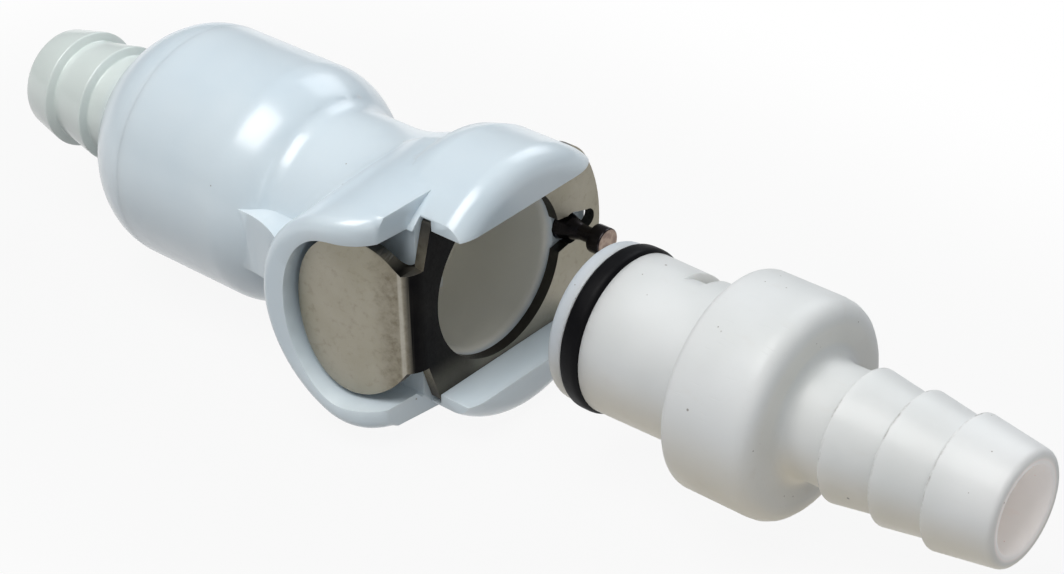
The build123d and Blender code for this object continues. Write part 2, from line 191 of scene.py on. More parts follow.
class Graph:
    """The node tree of one material, emptied and ready to be wired."""

    def __init__(self, name: str) -> None:
        """Makes the material with its shader and output nodes.

        Args:
            name: name of the material.
        """
        self.material = bpy.data.materials.new(name)
        self.material.use_nodes = True
        self.tree = self.material.node_tree
        self.tree.nodes.clear()
        self.output = self.tree.nodes.new("ShaderNodeOutputMaterial")
        self.shader = self.tree.nodes.new("ShaderNodeBsdfPrincipled")
        self.tree.links.new(self.shader.outputs[0], self.output.inputs["Surface"])

    def plug(self, socket: bpy.types.NodeSocket, value: Any) -> None:
        """Sets a socket to a value, or links a wire to it.

        Args:
            socket: an input of a node.
            value: a wire, a number, a vector or a colour without its alpha.
        """
        if isinstance(value, Wire):
            self.tree.links.new(value.socket, socket)
        elif isinstance(value, tuple) and len(value) == 3 and socket.type == "RGBA":
            socket.default_value = (*value, 1.0)
        else:
            socket.default_value = value

    def node(
        self,
        kind: str,
        settings: Optional[Dict[str, Any]] = None,
        values: Optional[Dict[Union[str, int], Any]] = None,
        output: Union[str, int] = 0,
    ) -> Wire:
        """Adds any node.

        Args:
            kind: Blender's name of the node's type.
            settings: properties of the node, set before its sockets.
            values: numbers, colours or wires for its sockets.
            output: the output that is handed back.

        Returns:
            The output's wire.
        """
        made = self.tree.nodes.new(kind)
        for key, value in (settings or {}).items():
            setattr(made, key, value)
        for key, value in (values or {}).items():
            self.plug(made.inputs[key], value)
        return Wire(self, made.outputs[output])

    def place(self) -> Wire:
        """The point on the piece, in the frame's metres."""
        return self.node("ShaderNodeTexCoord", output="Object")

    def parts(self, vector: Wire) -> List[Wire]:
        """The three parts of a vector."""
        split = self.node("ShaderNodeSeparateXYZ", values={0: vector}).socket.node
        return [Wire(self, part) for part in split.outputs]

    def axes(self) -> List[Wire]:
        """The three coordinates of the point, in millimetres."""
        return [part * (1 / MM) for part in self.parts(self.place())]

    def facing(self) -> List[Wire]:
        """The three parts of the surface's direction."""
        return self.parts(self.node("ShaderNodeNewGeometry", output="Normal"))

    def noise(
        self,
        per_mm: float,
        detail: float = 2.0,
        stretch: Triple = (1.0, 1.0, 1.0),
        roughness: float = 0.5,
    ) -> Wire:
        """Cloudy noise.

        Args:
            per_mm: number of clouds in a millimetre.
            detail: octaves.
            stretch: factor on each coordinate, small along a grain.
            roughness: weight of the fine octaves.

        Returns:
            The noise's wire, about 0 to 1.
        """
        scaled = self.node("ShaderNodeMapping", {}, {"Vector": self.place(), "Scale": stretch})
        values = {"Vector": scaled, "Scale": per_mm / MM, "Detail": detail, "Roughness": roughness}
        return self.node("ShaderNodeTexNoise", {}, values)

    def specks(self, per_mm: float, size: float, share: float) -> Wire:
        """Small round dots at random.

        Args:
            per_mm: cells in a millimetre.
            size: radius of a dot as a share of a cell.
            share: share of the cells that hold a dot.

        Returns:
            A mask, 1 on a dot.
        """
        values = {"Vector": self.place(), "Scale": per_mm / MM}
        cell = self.node("ShaderNodeTexVoronoi", {}, values, "Distance")
        colour = Wire(self, cell.socket.node.outputs["Color"])
        chance = self.node("ShaderNodeSeparateColor", {}, {0: colour})
        return cell.ramp(size, size * 0.5) * chance.ramp(1 - share - 0.01, 1 - share)

    def blend(self, factor: Any, first: Any, second: Any) -> Wire:
        """Mixes two colours by a factor."""
        values = {"Factor": factor, 6: first, 7: second}
        return self.node("ShaderNodeMix", {"data_type": "RGBA"}, values, 2)

    def relief(self, height: Wire, depth: float, strength: float = 1.0) -> Wire:
        """Turns a height into a bumped normal.

        Args:
            height: height as a share of the depth.
            depth: full depth in millimetres.
            strength: strength of the effect.

        Returns:
            The normal's wire.
        """
        values = {"Height": height, "Distance": depth * MM, "Strength": strength}
        return self.node("ShaderNodeBump", {}, values)

    def finish(self, **sockets: Any) -> bpy.types.Material:
        """Sets the shader's sockets.

        Args:
            sockets: a value or a wire for each socket, its name with underscores for spaces.

        Returns:
            The material.
        """
        for key, value in sockets.items():
            self.plug(self.shader.inputs[key.replace("_", " ")], value)
        return self.material


@dataclass(frozen=True)
class MilkyAcetal:
    """Moulded acetal: milky, half glossy, with faint clouds, flow marks and dirt, and where set,
    painted light and shade.

    The tip is the end towards -X: its colour is the terminal's own tint, and painted shade on the
    insert's nose.
    The inside is the wall round the axis, from a start inwards; its colour and glow there are
    painted light.
    The underside colour and glow on downward faces are painted bounce light.
    """

    name: str
    colour: Colour
    cloud: Colour
    tip: Optional[Colour] = None
    tip_start: float = 0.0
    # Underside colour, laid with the glow on downward faces: painted bounce light.
    under: Optional[Colour] = None
    # Inside colour, laid with the glow on the walls of a bore: painted light.
    inside: Optional[Colour] = None
    inside_start: float = 37.0
    inside_r: float = 6.6
    inside_reach: float = 2.0
    inside_edge: float = 0.4
    dirt: float = 0.0
    smear: Colour = (0.55, 0.47, 0.38)
    speck: Colour = (0.16, 0.13, 0.11)
    dark_ridge_lines: Tuple[float, ...] = ()
    line: Colour = (0.2, 0.17, 0.15)
    line_half: float = 0.03
    scratches: Tuple[float, float] = (0.0, 0.0)
    relief_depth: float = 0.03
    dullness: float = 0.34
    coat: float = 0.8
    coat_dullness: float = 0.21
    coat_index: float = 1.6
    index: float = 1.48
    milk: float = 0.25
    milk_depth: float = 1.4
    # Strength of the painted glow.
    glow: float = 0.0

    def tinted(self, graph: Graph, place: Sequence[Wire]) -> Tuple[Wire, Any]:
        """Lays the clouds, the tip, the underside's painted bounce light and the inside's painted
        light over each other.

        Args:
            graph: node graph of the material.
            place: the three coordinates of the point.

        Returns:
            The colour, and the colour of the painted glow.
        """
        x, y, z = place
        glow: Any = BLACK
        clouds = graph.noise(per_mm=0.09).ramp(0.35, 0.65)
        colour = graph.blend(clouds, self.colour, self.cloud)
        # The tip colour is the terminal's own tint, and painted shade on the insert's nose.
        if self.tip is not None:
            at_tip = x.ramp(self.tip_start + 2.0, self.tip_start - 1.0)
            colour = graph.blend(at_tip, colour, self.tip)
        # Painted bounce light: downward faces take the lighter, warm underside colour and glow.
        if self.under is not None:
            painted_bounce_mask = graph.facing()[2].ramp(0.3, -0.7)
            colour = graph.blend(painted_bounce_mask * 0.8, colour, self.under)
            glow = graph.blend(painted_bounce_mask * 0.6, glow, self.under)
        # Painted light: the walls of a bore or socket take the light inside colour, and glow.
        if self.inside is not None:
            outer = self.inside_r + self.inside_edge
            painted_light_mask = (y * y + z * z).ramp(outer**2, self.inside_r**2)
            painted_light_mask = painted_light_mask * x.ramp(self.inside_start, self.inside_start + self.inside_reach)
            colour = graph.blend(painted_light_mask, colour, self.inside)
            glow = graph.blend(painted_light_mask, glow, self.inside)
        return colour, glow

    def soiled(self, graph: Graph, x: Wire, colour: Wire) -> Wire:
        """Lays smears, specks and the broken lines beside the ridges over a colour.

        Args:
            graph: node graph of the material.
            x: place along the axis.
            colour: the clean colour.

        Returns:
            The colour with its dirt and dark lines.
        """
        if self.dirt:
            large = graph.specks(per_mm=0.55, size=0.075, share=self.dirt)
            small = graph.specks(per_mm=1.3, size=0.09, share=self.dirt * 0.5)
            smears = graph.noise(per_mm=0.35, detail=4.0, stretch=(1.0, 2.2, 2.2)).ramp(0.6, 0.8)
            colour = graph.blend(smears * (self.dirt * 0.5), colour, self.smear)
            colour = graph.blend((large + small).smaller(1.0) * 0.75, colour, self.speck)
        # Thin dark broken lines beside the ridges.
        if self.dark_ridge_lines:
            broken = graph.noise(per_mm=0.45, detail=5.0, roughness=0.7).ramp(0.44, 0.7)
            wander = (graph.noise(per_mm=0.6) - 0.5) * 0.25
            for line_x in self.dark_ridge_lines:
                mask = (x + wander).band(line_x, half=self.line_half, soft=0.1) * broken
                colour = graph.blend(mask * 0.7, colour, self.line)
        return colour

    def material(self) -> bpy.types.Material:
        """Wires the finish.

        Returns:
            The material.
        """
        graph = Graph(self.name)
        place = graph.axes()
        x = place[0]
        colour, glow = self.tinted(graph, place)
        colour = self.soiled(graph, x, colour)
        height = graph.noise(per_mm=2.2, detail=3.0) * 0.35 + graph.noise(per_mm=0.5) * 0.65
        uneven = graph.noise(per_mm=0.25, detail=3.0).ramp(0.3, 0.7)
        roughness = self.dullness + uneven * 0.12
        low, high = self.scratches
        if high > low:
            marks = graph.noise(per_mm=2.6, stretch=(0.16, 1.0, 1.0)).ramp(0.64, 0.72)
            marks = marks * x.band((low + high) / 2, half=(high - low) / 2, soft=0.3)
            height = height - marks * 0.45
            roughness = roughness + marks * 0.15
        return graph.finish(
            Base_Color=colour,
            Roughness=roughness,
            IOR=self.index,
            Coat_Weight=self.coat,
            Coat_Roughness=self.coat_dullness,
            Coat_IOR=self.coat_index,
            # The painted glow of the underside and the inside.
            Emission_Color=glow,
            Emission_Strength=self.glow,
            Subsurface_Weight=self.milk,
            Subsurface_Radius=(1.0, 1.0, 1.0),
            Subsurface_Scale=self.milk_depth * MM,
            Normal=graph.relief(height, self.relief_depth, 0.5),
        )


@dataclass(frozen=True)
class RolledSteel:
    """Matte stainless sheet: grained thumb pad, dark cut edges, and a front with painted shade at
    the bend.

    The front is the leg across the socket, which starts at leg_start_y. Its painted shade fades
    from the thumb pad's side towards the pin.
    """

    name: str = "rolled_steel"
    colour: Colour = (0.348, 0.325, 0.255)
    worn: Colour = (0.435, 0.408, 0.35)
    stain: Colour = (0.17, 0.145, 0.1)
    edge: Colour = (0.05, 0.048, 0.045)
    # Near black of the front's painted shade.
    dark: Colour = (0.003, 0.003, 0.004)
    glint: Colour = (0.62, 0.6, 0.54)
    bend_x: float = 46.9
    leg_start_y: float = -8.0
    front_shade_y: Tuple[float, float] = (8.0, -3.0)
    dark_end_y: float = -1.6
    dark_half_height: float = 6.6
    dark_fade: float = 2.6
    relief_depth: float = 0.02

    def material(self) -> bpy.types.Material:
        """Wires the finish.

        Returns:
            The material.
        """
        graph = Graph(self.name)
        x, y, z = graph.axes()
        nx, _, nz = graph.facing()
        grain = graph.noise(per_mm=7.0, detail=3.0, stretch=(1.0, 1.0, 0.5), roughness=0.7)
        mottle = graph.noise(per_mm=1.6, detail=5.0, roughness=0.65)
        cloud = graph.noise(per_mm=0.22, detail=3.0).ramp(0.3, 0.7)
        colour = graph.blend(cloud * 0.5 + grain.ramp(0.4, 0.7) * 0.4, self.colour, self.worn)
        colour = graph.blend(mottle.ramp(0.5, 0.75) * 0.3, colour, self.stain)

        # A stain on the pad beside the bend, and a thin glint along the bend.
        front = nx.ramp(0.62, 0.86)
        near_bend = x.ramp(self.bend_x - 1.3, self.bend_x + 0.5) * (1.0 - front)
        stained = near_bend * mottle.ramp(0.3, 0.7, 0.35, 0.8)
        colour = graph.blend(stained, colour, self.stain)
        bend_line = nx.band(0.6, half=0.03, soft=0.07)
        bend_line = bend_line * x.ramp(self.bend_x - 0.6, self.bend_x - 0.2)
        colour = graph.blend(bend_line * 0.45, colour, self.glint)

        # Dark cut edges, round the outline and in the aperture.
        cut_edge = abs(nz).ramp(0.6, 0.85) * 0.85
        colour = graph.blend(cut_edge, colour, self.edge)
        sideways = abs(nx).ramp(0.75, 0.45)
        bore_edge = sideways * y.ramp(self.leg_start_y, self.leg_start_y + 1.0)
        colour = graph.blend(bore_edge * 0.9, colour, self.edge)

        # The front, with painted shade: greyed with the cut edges' colour towards the bend, nearly
        # black beside it, and fully metallic there.
        colour = graph.blend(front * y.ramp(*self.front_shade_y) * 0.3, colour, self.edge)
        reach = y.ramp(self.dark_end_y, self.dark_end_y - self.dark_fade)
        lowest = -self.dark_half_height
        low = z.ramp(lowest, lowest + self.dark_fade, 0.6, 1.0)
        shade = front * reach * low * (0.96 + cloud * 0.04)
        colour = graph.blend(shade, colour, self.dark)
        return graph.finish(
            Base_Color=colour,
            Metallic=0.85 + shade * 0.15,
            Roughness=0.46 + grain.ramp(0.3, 0.7) * 0.16 - cut_edge * 0.12,
            Normal=graph.relief(grain * 0.4 + mottle * 0.6, self.relief_depth, 0.5),
        )


@dataclass(frozen=True)
class DarkTurnedSteel:
    """Dark turned pin: glossy, ringed by the tool, with a brownish worn end face."""

    name: str = "dark_turned_steel"
    colour: Colour = (0.025, 0.022, 0.024)
    ring: Colour = (0.09, 0.08, 0.08)
    worn_end: Colour = (0.42, 0.33, 0.27)
    stained_end: Colour = (0.27, 0.2, 0.17)
    end_x: float = 52.3

    def material(self) -> bpy.types.Material:
        """Wires the finish.

        Returns:
            The material.
        """
        graph = Graph(self.name)
        x, nx = graph.axes()[0], graph.facing()[0]
        rings = graph.noise(per_mm=4.0, stretch=(1.0, 0.05, 0.05))
        end_face = nx.ramp(0.75, 0.95) * x.ramp(self.end_x - 0.25, self.end_x - 0.05)
        worn = graph.noise(per_mm=2.2, detail=4.0).ramp(0.35, 0.65)
        colour = graph.blend(rings * 0.5, self.colour, self.ring)
        colour = graph.blend(end_face, colour, graph.blend(worn, self.worn_end, self.stained_end))
        return graph.finish(
            Base_Color=colour,
            Metallic=0.95,
            Roughness=0.18 + end_face * 0.3 + rings * 0.08,
            Normal=graph.relief(rings, 0.012, 0.6),
        )


@dataclass(frozen=True)
class SpringWire:
    """Drawn spring wire, with streaks along its length."""

    name: str = "spring_wire"
    colour: Colour = (0.42, 0.42, 0.43)
    streak: Colour = (0.56, 0.55, 0.54)

    def material(self) -> bpy.types.Material:
        """Wires the finish.

        Returns:
            The material.
        """
        graph = Graph(self.name)
        streaks = graph.noise(per_mm=3.0, detail=3.0, stretch=(0.4, 0.4, 1.0))
        colour = graph.blend(streaks.ramp(0.35, 0.65), self.colour, self.streak)
        return graph.finish(Base_Color=colour, Metallic=1.0, Roughness=0.3 + streaks * 0.1)


@dataclass(frozen=True)
class BlackRubber:
    """Nitrile ring seal: black, with a dull bloom and a little dust."""

    name: str = "black_rubber"
    colour: Colour = (0.002, 0.002, 0.003)
    bloomed: Colour = (0.007, 0.007, 0.008)
    dust: Colour = (0.2, 0.2, 0.2)
    sheen: float = 0.12

    def material(self) -> bpy.types.Material:
        """Wires the finish.

        Returns:
            The material.
        """
        graph = Graph(self.name)
        bloom = graph.noise(per_mm=0.7, detail=4.0).ramp(0.45, 0.8)
        grain = graph.noise(per_mm=6.0)
        dots = graph.specks(per_mm=2.0, size=0.12, share=0.05)
        colour = graph.blend(bloom * 0.5, self.colour, self.bloomed)
        colour = graph.blend(dots * 0.25, colour, self.dust)
        return graph.finish(
            Base_Color=colour,
            Roughness=0.5 + bloom * 0.2,
            Specular_IOR_Level=self.sheen,
            Normal=graph.relief(grain, 0.015, 0.5),
        )


def rounded(corners: Sequence[Corner], steps: int = 6) -> np.ndarray:
    """Rounds every corner of a closed outline.

    Each corner becomes a quadratic curve from a point before it to a point after it, both at the
    corner's set-back, which is at most 0.48 of the shorter side beside it. With t from 0 to 1, a
    point is (1 - t) squared of the first, 2 t (1 - t) of the corner and t squared of the last.

    Args:
        corners: x, radius and set-back of each corner.
        steps: points on each rounded corner.

    Returns:
        Points of the outline, one row each.
    """
    given = np.asarray(corners, float)
    point, set_back = given[:, :2], given[:, 2]
    before, after = np.roll(point, 1, axis=0) - point, np.roll(point, -1, axis=0) - point
    length_before = np.linalg.norm(before, axis=1)
    length_after = np.linalg.norm(after, axis=1)
    reach = np.minimum(set_back, LARGEST_SET_BACK * np.minimum(length_before, length_after))
    start = point + before * (reach / length_before)[:, None]
    end = point + after * (reach / length_after)[:, None]
    t = np.linspace(0, 1, steps)[None, :, None]
    curve = (1 - t) ** 2 * start[:, None] + 2 * t * (1 - t) * point[:, None] + t**2 * end[:, None]
    return curve.reshape(-1, 2)


def tidy_normals(mesh: bpy.types.Mesh, merge: float) -> None:
    """Merges close points, turns the faces outwards and keeps only real edges sharp.

    Args:
        mesh: the mesh to mend.
        merge: distance in metres under which points are merged, 0 for none.
    """
    shape = bmesh.new()
    shape.from_mesh(mesh)
    if merge:
        bmesh.ops.remove_doubles(shape, verts=shape.verts, dist=merge)
    bmesh.ops.recalc_face_normals(shape, faces=shape.faces)
    shape.to_mesh(mesh)
    shape.free()
    mesh.shade_smooth()
    mesh.set_sharp_from_angle(angle=SHARP_ANGLE)


def grid_mesh(name: str, points: np.ndarray) -> bpy.types.Object:
    """Makes a mesh from a grid of points that closes both ways.

    Each face joins a point to the next in its row, in its column and in both. The last row is
    followed by the first, and so is the last column.

    Args:
        name: name of the piece.
        points: array of rows, columns and x, y, z in millimetres.

    Returns:
        The piece, at the origin.
    """
    rows, columns = points.shape[:2]
    index = np.arange(rows * columns).reshape(rows, columns)
    down, right = np.roll(index, -1, axis=0), np.roll(index, -1, axis=1)
    both = np.roll(down, -1, axis=1)
    quads = np.stack([index, down, both, right], axis=-1).reshape(-1, 4)
    mesh = bpy.data.meshes.new(name)
    mesh.from_pydata((points.reshape(-1, 3) * MM).tolist(), [], quads.tolist())
    piece = bpy.data.objects.new(name, mesh)
    bpy.context.scene.collection.objects.link(piece)
    tidy_normals(mesh, 0.0)
    return piece


def turned(
    name: str,
    outline: np.ndarray,
    centre_y: float = 0.0,
    columns: int = 144,
    limit: Optional[Cut] = None,
) -> bpy.types.Object:
    """Turns an outline about a line along X.

    A point at x and radius r goes to (x, centre_y + r cos a, r sin a) for each angle a.

    Args:
        name: name of the piece.
        outline: x and radius of each point of a closed outline.
        centre_y: y of the line it is turned about.
        columns: steps round the line.
        limit: gives a smaller radius from x, radius and angle, where something is cut away.

    Returns:
        The piece.
    """
    angle = np.arange(columns) * (2 * math.pi / columns)
    x = np.repeat(outline[:, :1], columns, axis=1)
    radius = np.repeat(outline[:, 1:2], columns, axis=1)
    angles = np.broadcast_to(angle, radius.shape)
    if limit is not None:
        radius = limit(x, radius, angles)
    points = np.stack([x, centre_y + radius * np.cos(angles), radius * np.sin(angles)], axis=-1)
    return grid_mesh(name, points)


def own_copy(node: str, name: str) -> bpy.types.Object:
    """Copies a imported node's mesh into a new piece at the origin.

    Args:
        node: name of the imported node.
        name: name of the new piece.

    Returns:
        The new piece.
    """
    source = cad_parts[node]
    mesh = source.data.copy()
    mesh.name = name
    piece = bpy.data.objects.new(name, mesh)
    bpy.context.scene.collection.objects.link(piece)
    mesh.transform(source.matrix_world)
    mesh.materials.clear()
    tidy_normals(mesh, MERGE_WITHIN)
    return piece


def softened_copy(
    node: str, name: str, edge: float, seam: Optional[float] = None
) -> bpy.types.Object:
    """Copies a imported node's mesh and rounds its sharp edges.

    Args:
        node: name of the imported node.
        name: name of the new piece.
        edge: width of the rounding in millimetres.
        seam: x of a joint with another piece, whose edges stay sharp.

    Returns:
        The new piece.
    """
    piece = own_copy(node, name)
    shape = bmesh.new()
    shape.from_mesh(piece.data)
    weight = shape.edges.layers.float.new("bevel_weight_edge")
    for rim in shape.edges:
        on_seam = seam is not None and all(
            abs(end.co.x / MM - seam) < SEAM_WITHIN for end in rim.verts
        )
        if not on_seam and rim.calc_face_angle(0.0) > SOFTENED_ANGLE:
            rim[weight] = 1.0
    shape.to_mesh(piece.data)
    shape.free()
    bevel = piece.modifiers.new("soft edges", "BEVEL")
    bevel.width = edge * MM
    bevel.segments = 2
    bevel.limit_method = "WEIGHT"
    even = piece.modifiers.new("even shading", "WEIGHTED_NORMAL")
    even.keep_sharp = True
    return piece


def dressed(
    piece: bpy.types.Object,
    material: bpy.types.Material,
    body: Optional[str],
    replaces: Sequence[str],
) -> None:
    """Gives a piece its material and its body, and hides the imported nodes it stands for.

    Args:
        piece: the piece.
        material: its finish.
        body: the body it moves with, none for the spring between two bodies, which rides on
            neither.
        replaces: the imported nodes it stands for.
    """
    piece.data.materials.clear()
    piece.data.materials.append(material)
    if body is not None:
        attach(piece, body)
    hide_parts(*replaces)
    mover = body or "two bodies"
    log.info("%s: %d faces, rides on %s", piece.name, len(piece.data.polygons), mover)


def coated(nodes: Sequence[str], material: bpy.types.Material) -> None:
    """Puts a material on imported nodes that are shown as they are.

    Args:
        nodes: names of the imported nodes.
        material: their finish.
    """
    for node in nodes:
        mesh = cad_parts[node].data
        mesh.materials.clear()
        mesh.materials.append(material)
        log.info("%s keeps its packed shape", node)


@dataclass(frozen=True)
class Barb:
    """A hose barb: ridges from the neck to the end, and the mouth of the bore.

    Each ridge has a steep back, whose foot lies at the crest plus `back`.
    """

    crests: Tuple[float, ...]
    end: float
    back: float
    valley_drop: float = 0.0
    end_drop: float = 0.12
    crest_r: float = 4.95
    valley_r: float = 4.35
    bore_r: float = 3.15
    valley_round: float = 0.12
    crest_round: float = 0.14
    end_round: float = 0.45
    mouth_round: float = 0.25

    def corners(self) -> List[Corner]:
        """Lists the outline from the first ridge to the mouth.

        Returns:
            The corners, the one at the mouth last.
        """
        outline: List[Corner] = []
        for crest in self.crests:
            outline += [
                (crest + self.back, self.valley_r - self.valley_drop, self.valley_round),
                (crest, self.crest_r, self.crest_round),
            ]
        outline += [
            (self.end, self.valley_r - self.end_drop, self.end_round),
            (self.end, self.bore_r, self.mouth_round),
        ]
        return outline


@dataclass
class Insert:
    """The plain half: barrel with its ring, flange, and a barb with three ridges.

    Places along the axis are counted from the flange's face on the barrel's side, which lies at
    `flange`. Front is towards the nose.
    """

    flange: float = 70.5
    nose: float = -12.0
    nose_round: float = 0.75
    mouth_round: float = 0.2
    barrel_r: float = 6.1
    taper_r: float = 5.95
    ring_front: float = -10.7
    ring_back: float = -9.0
    ring_groove_r: float = 4.75
    groove_round: float = 0.08
    groove_floor_round: float = 0.05
    ring_r: float = 6.34
    ring_gap: float = 0.02
    ring_round: float = 0.55
    ring_inner_round: float = 0.3
    pocket: Tuple[float, float] = (-4.85, -3.35)
    pocket_wall: float = 0.03
    pocket_round: float = 0.01
    pocket_circle: float = 6.45
    pocket_shift: float = 1.8
    bore_margin: float = 0.5
    flange_r: float = 8.25
    flange_back: float = 7.2
    flange_root_round: float = 0.3
    flange_front_round: float = 0.5
    flange_back_round: float = 1.7
    neck_r: float = 4.3
    neck_round: float = 1.2
    barb: Barb = Barb(crests=(10.8, 14.9, 19.0), end=23.9, back=-0.25)
    finish: MilkyAcetal = MilkyAcetal(
        "insert_moulding",
        (0.69, 0.712, 0.715),
        (0.755, 0.775, 0.785),
        # The nose's bluish tip is painted shade.
        tip=(0.52, 0.58, 0.65),
        # A warm, light underside with a glow: painted bounce light.
        under=(0.97, 0.89, 0.72),
        # A light bore with a glow: painted light.
        inside=(0.96, 0.9, 0.88),
        inside_r=3.4,
        inside_reach=8.0,
        dirt=0.16,
        dullness=0.42,
        coat=0.1,
        milk=0.7,
        milk_depth=3.2,
        glow=0.13,
    )
    tip_length: float = 0.8
    lit_past_end: float = 0.1
    scratched_past_flange: float = 0.3
    lines_behind_crest: float = 0.05
    rubber: BlackRubber = BlackRubber("ring_rubber")

    def barrel_at(self, x: float) -> float:
        """Radius of the tapered barrel at x."""
        share = 1.0 - x / self.ring_back
        return self.barrel_r + (self.taper_r - self.barrel_r) * share

    def corners(self) -> List[Corner]:
        """Lists the outline from the nose over the outside to the end, and back along the bore.

        Returns:
            The corners.
        """
        outline: List[Corner] = [
            (self.nose, self.barb.bore_r, self.mouth_round),
            (self.nose, self.barrel_r, self.nose_round),
            (self.ring_front, self.barrel_r, self.groove_round),
            (self.ring_front, self.ring_groove_r, self.groove_floor_round),
            (self.ring_back, self.ring_groove_r, self.groove_floor_round),
            (self.ring_back, self.barrel_r, self.groove_round),
        ]
        for wall in self.pocket:
            outline += [
                (wall - self.pocket_wall, self.barrel_at(wall), self.pocket_round),
                (wall + self.pocket_wall, self.barrel_at(wall), self.pocket_round),
            ]
        outline += [
            (0.0, self.taper_r, self.flange_root_round),
            (0.0, self.flange_r, self.flange_front_round),
            (self.flange_back, self.flange_r, self.flange_back_round),
            (self.flange_back, self.neck_r, self.neck_round),
        ]
        return outline + self.barb.corners()

    def pocket_limit(self, x: np.ndarray, radius: np.ndarray, angle: np.ndarray) -> np.ndarray:
        """Cuts the pocket on the pin's side.

        Inside the pocket's length the radius is at most the distance from the axis to a circle that
        is shifted towards the thumb pad: -s cos a + sqrt(c squared - s squared sin squared a).

        Args:
            x: place along the axis.
            radius: radius before the cut.
            angle: angle round the axis, 0 towards the pin.

        Returns:
            The radius after the cut.
        """
        low, high = (self.flange + wall for wall in self.pocket)
        shift, circle = self.pocket_shift, self.pocket_circle
        edge = -shift * np.cos(angle) + np.sqrt(circle**2 - (shift * np.sin(angle)) ** 2)
        outside = radius > self.barb.bore_r + self.bore_margin
        inside = (x > low) & (x < high) & (np.cos(angle) > 0) & outside
        return np.where(inside, np.minimum(radius, edge), radius)

    def ring_corners(self) -> List[Corner]:
        """Lists the section of the ring, squeezed flat against the walls of its groove.

        Returns:
            The corners.
        """
        front, back = self.ring_front + self.ring_gap, self.ring_back - self.ring_gap
        inner, outer = self.ring_groove_r + self.ring_gap, self.ring_r
        return [
            (front, inner, self.ring_inner_round),
            (front, outer, self.ring_round),
            (back, outer, self.ring_round),
            (back, inner, self.ring_inner_round),
        ]

    def placed_finish(self) -> MilkyAcetal:
        """Places the painted shade on the nose, the scratches on the flange, the dark lines beside
        the ridges and the painted light in the bore.

        Returns:
            The finish with its places filled in.
        """
        lit_end = self.flange + self.barb.end + self.lit_past_end
        scratched_end = self.flange + self.flange_back + self.scratched_past_flange
        behind = self.flange + self.lines_behind_crest
        return replace(
            self.finish,
            tip_start=self.flange + self.nose + self.tip_length,
            inside_start=lit_end - self.finish.inside_reach,
            scratches=(self.flange, scratched_end),
            dark_ridge_lines=tuple(behind + crest for crest in self.barb.crests),
        )

    def build(self) -> None:
        """Makes and dresses the half and its ring."""
        place = np.array([self.flange, 0.0])
        outline = rounded(self.corners()) + place
        piece = turned("insert_moulding", outline, limit=self.pocket_limit)
        finish = self.placed_finish().material()
        dressed(piece, finish, "insert", ["insert_body"])
        ring = turned("ring_seal", rounded(self.ring_corners()) + place)
        dressed(ring, self.rubber.material(), "insert", ["insert_o_ring"])


@dataclass
class Terminal:
    """The rear moulding: rounded end of the bulb and a barb with two ridges."""

    seat: float = 16.5
    seat_r: float = 3.92
    spigot: float = 20.7
    spigot_r: float = 7.38
    spigot_funnel: float = 1.4
    spigot_round: float = 0.1
    groove: Tuple[float, float] = (18.5, 19.7)
    groove_r: float = 6.18
    tight: float = 0.02
    seam: float = SEAM_X
    bulb_r: float = 9.75
    dome_end: float = 10.4
    dome_end_r: float = 4.9
    dome_fullness: Tuple[float, float] = (1.2, 0.8)
    dome_foot: Tuple[float, float] = (-0.85, -1.0)
    foot_drop: float = 0.2
    foot_round: float = 0.25
    round_steps: int = 5
    barb: Barb = Barb(
        crests=(7.4, 3.3), end=0.0, back=0.3, valley_drop=0.1, end_round=0.4, mouth_round=0.2
    )
    finish: MilkyAcetal = MilkyAcetal(
        "terminal_moulding",
        COOL_WHITE,
        COOL_CLOUD,
        tip=(0.7, 0.77, 0.75),
        tip_start=9.5,
        dirt=0.03,
    )

    def dome(self, points: int = 26) -> List[Corner]:
        """Lists points of the rounded end.

        The curve is a cubic from the seam, level, to the foot of the barb, at about 50 degrees.
        It is set by its two ends and by its direction and fullness at each.

        Args:
            points: number of points.

        Returns:
            The points as corners with hardly any rounding.
        """
        t = np.linspace(0, 1, points)[:, None]
        length = math.hypot(self.seam - self.dome_end, self.bulb_r - self.dome_end_r)
        leaving, arriving = self.dome_fullness
        first = np.array([self.seam, self.bulb_r])
        last = np.array([self.dome_end, self.dome_end_r])
        leave = np.array([-1.0, 0.0]) * length * leaving
        arrive = np.array(self.dome_foot) / math.hypot(*self.dome_foot) * length * arriving
        curve = (
            (2 * t**3 - 3 * t**2 + 1) * first
            + (t**3 - 2 * t**2 + t) * leave
            + (-2 * t**3 + 3 * t**2) * last
            + (t**3 - t**2) * arrive
        )
        return [(float(x), float(r), self.tight) for x, r in curve]

    def corners(self) -> List[Corner]:
        """Lists the outline from the spigot over the dome to the end, and back along the bore.

        Returns:
            The corners.
        """
        outline: List[Corner] = [
            (self.seat, self.barb.bore_r, self.tight),
            (self.seat, self.seat_r, self.tight),
            (self.spigot, self.seat_r + self.spigot_funnel, self.spigot_round),
            (self.spigot, self.spigot_r, self.spigot_round),
            (self.groove[1], self.spigot_r, self.tight),
            (self.groove[1], self.groove_r, self.tight),
            (self.groove[0], self.groove_r, self.tight),
            (self.groove[0], self.spigot_r, self.tight),
            (self.seam, self.spigot_r, self.tight),
        ]
        outline += self.dome()
        outline += [(self.dome_end, self.barb.valley_r - self.foot_drop, self.foot_round)]
        return outline + self.barb.corners()

    def build(self) -> None:
        """Makes and dresses the moulding."""
        piece = turned("terminal_moulding", rounded(self.corners(), self.round_steps))
        dressed(piece, self.finish.material(), "coupling", ["hose_barb_terminal"])


